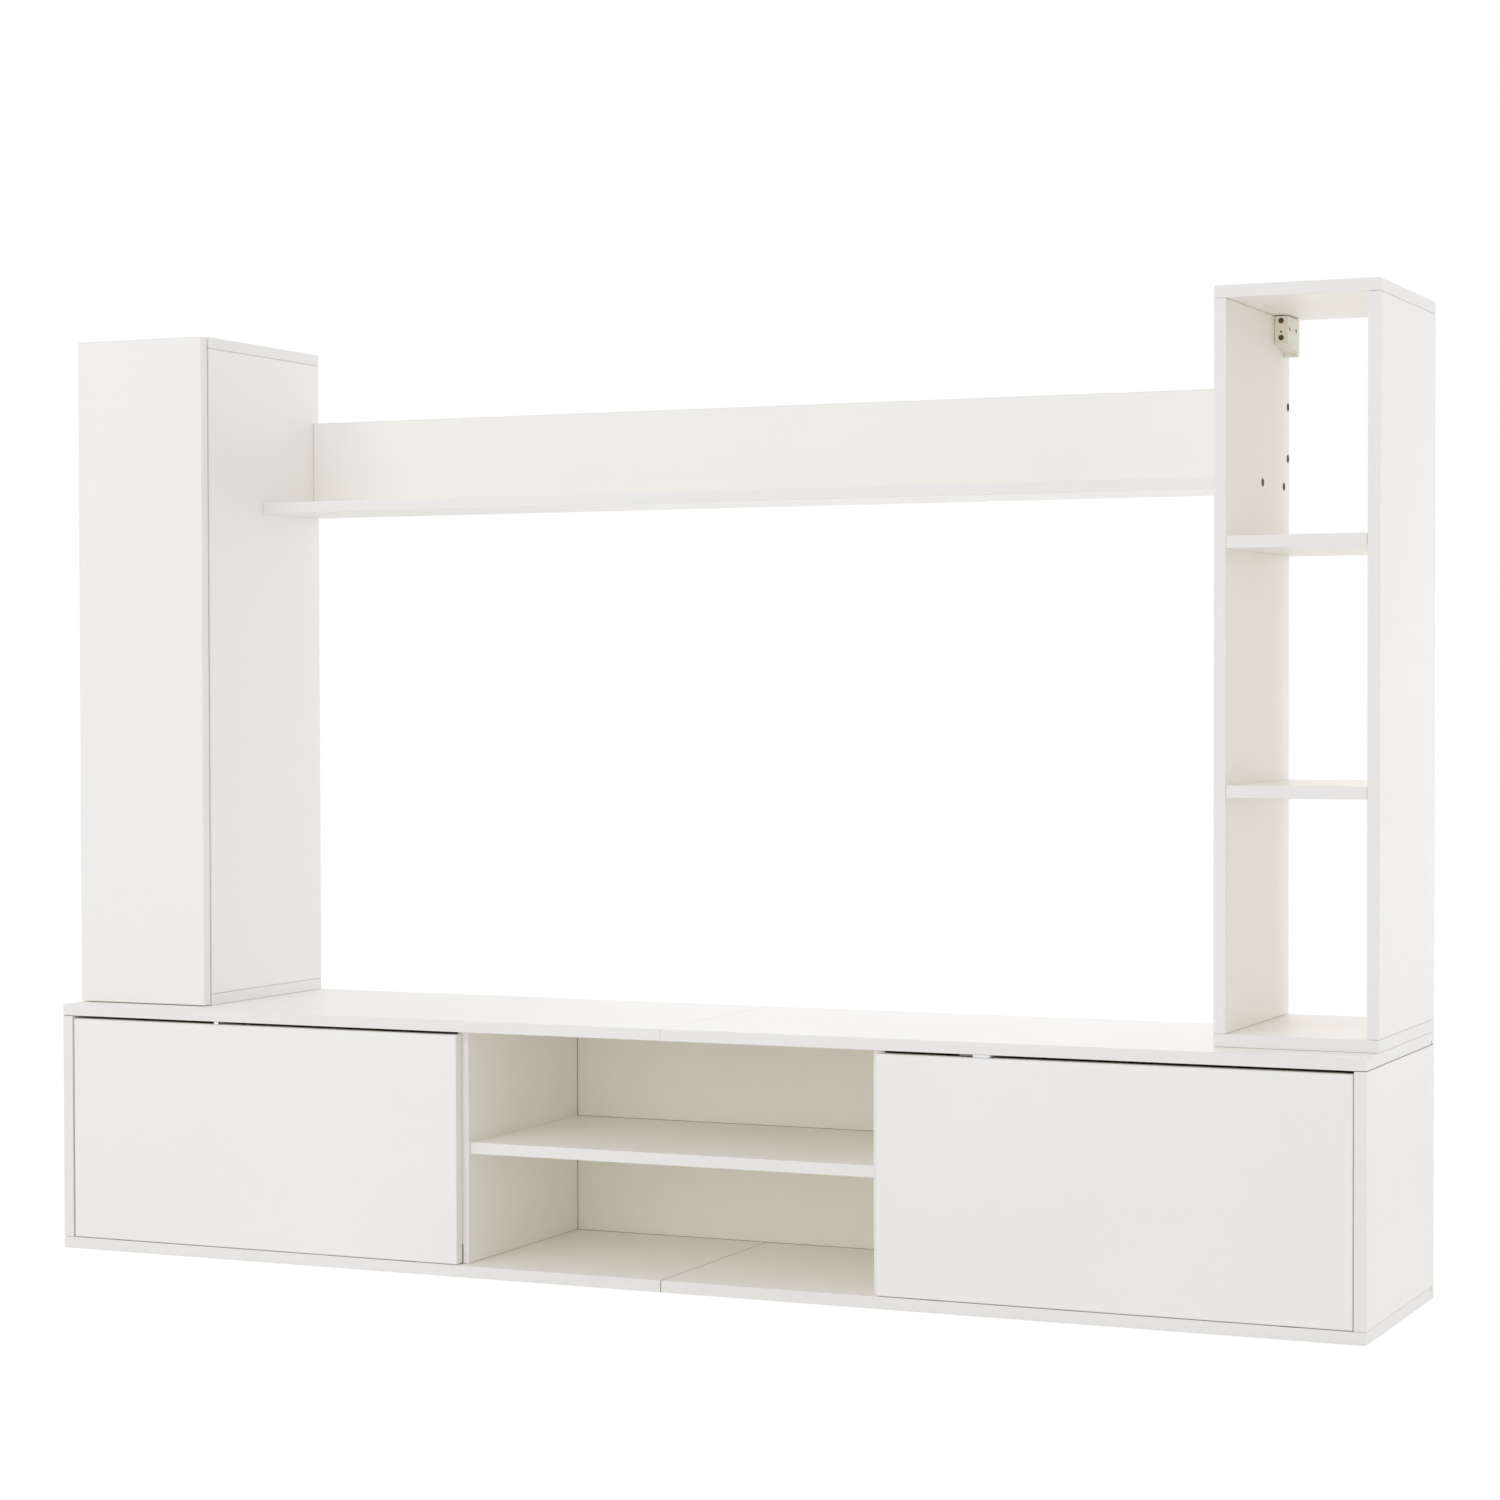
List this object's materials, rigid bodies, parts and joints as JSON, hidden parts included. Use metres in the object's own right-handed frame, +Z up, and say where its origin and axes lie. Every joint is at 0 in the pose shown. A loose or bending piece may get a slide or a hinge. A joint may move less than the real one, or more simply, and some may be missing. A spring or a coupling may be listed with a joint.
{
  "type": "entertainment center",
  "caption": "White wall unit for a television: low base with drop fronts and an open media bay, a closed tower, an open tower, and a bridge shelf joining them.",
  "frame": {"origin": "on the floor under the middle of the unit's box", "axes": "+X to the right along the width, +Y to the rear where the wall is, +Z up; the front faces -Y"},
  "size_m": [1.8, 0.345, 1.2353],
  "materials": {
    "laminate": "particle board faced and edged in matte warm white melamine",
    "hardboard": "thin hardboard lacquered white on its inner face",
    "white_plastic": "satin moulded plastic",
    "zinc_steel": "zinc plated pressed steel",
    "rubber": "soft grey bumper on a plastic rod"
  },
  "bodies": {
    "carcass": {"base_top_left": "laminate", "base_top_right": "laminate", "base_bottom_left": "laminate", "base_bottom_right": "laminate", "base_side_left": "laminate", "base_side_right": "laminate", "divider_left": "laminate", "divider_right": "laminate", "media_shelf": "laminate", "top_joining_plate_front": "zinc_steel", "top_joining_plate_rear": "zinc_steel", "base_back_left": "hardboard", "base_back_centre": "hardboard", "base_back_right": "hardboard", "flap_left_hinge_arm_outer": "zinc_steel", "flap_left_hinge_arm_inner": "zinc_steel", "flap_right_hinge_arm_outer": "zinc_steel", "flap_right_hinge_arm_inner": "zinc_steel", "flap_left_latch_body": "white_plastic", "flap_right_latch_body": "white_plastic", "closed_tower_top": "laminate", "closed_tower_bottom": "laminate", "closed_tower_side_left": "laminate", "closed_tower_side_right": "laminate", "closed_tower_shelf_lower": "laminate", "closed_tower_shelf_upper": "laminate", "closed_tower_back": "hardboard", "door_hinge_arm_lower": "zinc_steel", "door_hinge_arm_upper": "zinc_steel", "door_latch_body": "white_plastic", "open_tower_top": "laminate", "open_tower_bottom": "laminate", "open_tower_side_left": "laminate", "open_tower_side_right": "laminate", "open_tower_shelf_lower": "laminate", "open_tower_shelf_upper": "laminate", "bridge_shelf": "laminate", "bridge_back": "laminate", "closed_tower_hanger_left_case": "white_plastic", "closed_tower_hanger_left_hook": "zinc_steel", "closed_tower_hanger_right_case": "white_plastic", "closed_tower_hanger_right_hook": "zinc_steel", "open_tower_hanger_left_case": "white_plastic", "open_tower_hanger_left_hook": "zinc_steel", "open_tower_hanger_right_case": "white_plastic", "open_tower_hanger_right_hook": "zinc_steel"},
    "left_drop_front": {"flap_left": "laminate", "flap_left_hinge_leaf_outer": "zinc_steel", "flap_left_hinge_leaf_inner": "zinc_steel"},
    "right_drop_front": {"flap_right": "laminate", "flap_right_hinge_leaf_outer": "zinc_steel", "flap_right_hinge_leaf_inner": "zinc_steel"},
    "door": {"tower_door": "laminate", "door_hinge_cup_lower": "zinc_steel", "door_hinge_cup_upper": "zinc_steel"},
    "left_plunger": {"flap_left_latch_plunger": "rubber"},
    "right_plunger": {"flap_right_latch_plunger": "rubber"},
    "door_plunger": {"door_latch_plunger": "rubber"}
  },
  "joints": [
    {"name": "flap_left_swing", "type": "hinge", "parent": "carcass", "child": "left_drop_front", "pos_m": [-0.58685, -0.168, 0.028], "axis": [1, 0, 0], "range_deg": [0, 90]},
    {"name": "flap_right_swing", "type": "hinge", "parent": "carcass", "child": "right_drop_front", "pos_m": [0.58775, -0.168, 0.028], "axis": [1, 0, 0], "range_deg": [0, 90]},
    {"name": "tower_door_swing", "type": "hinge", "parent": "carcass", "child": "door", "pos_m": [-0.894, -0.1225, 0.78375], "axis": [0, 0, -1], "range_deg": [0, 90]},
    {"name": "flap_left_latch_press", "type": "slide", "parent": "carcass", "child": "left_plunger", "axis": [0, 1, 0], "range_m": [0, 0.003], "stiffness_N_per_m": 200},
    {"name": "flap_right_latch_press", "type": "slide", "parent": "carcass", "child": "right_plunger", "axis": [0, 1, 0], "range_m": [0, 0.003], "stiffness_N_per_m": 200},
    {"name": "door_latch_press", "type": "slide", "parent": "carcass", "child": "door_plunger", "axis": [0, 1, 0], "range_m": [0, 0.003], "stiffness_N_per_m": 200}
  ]
}
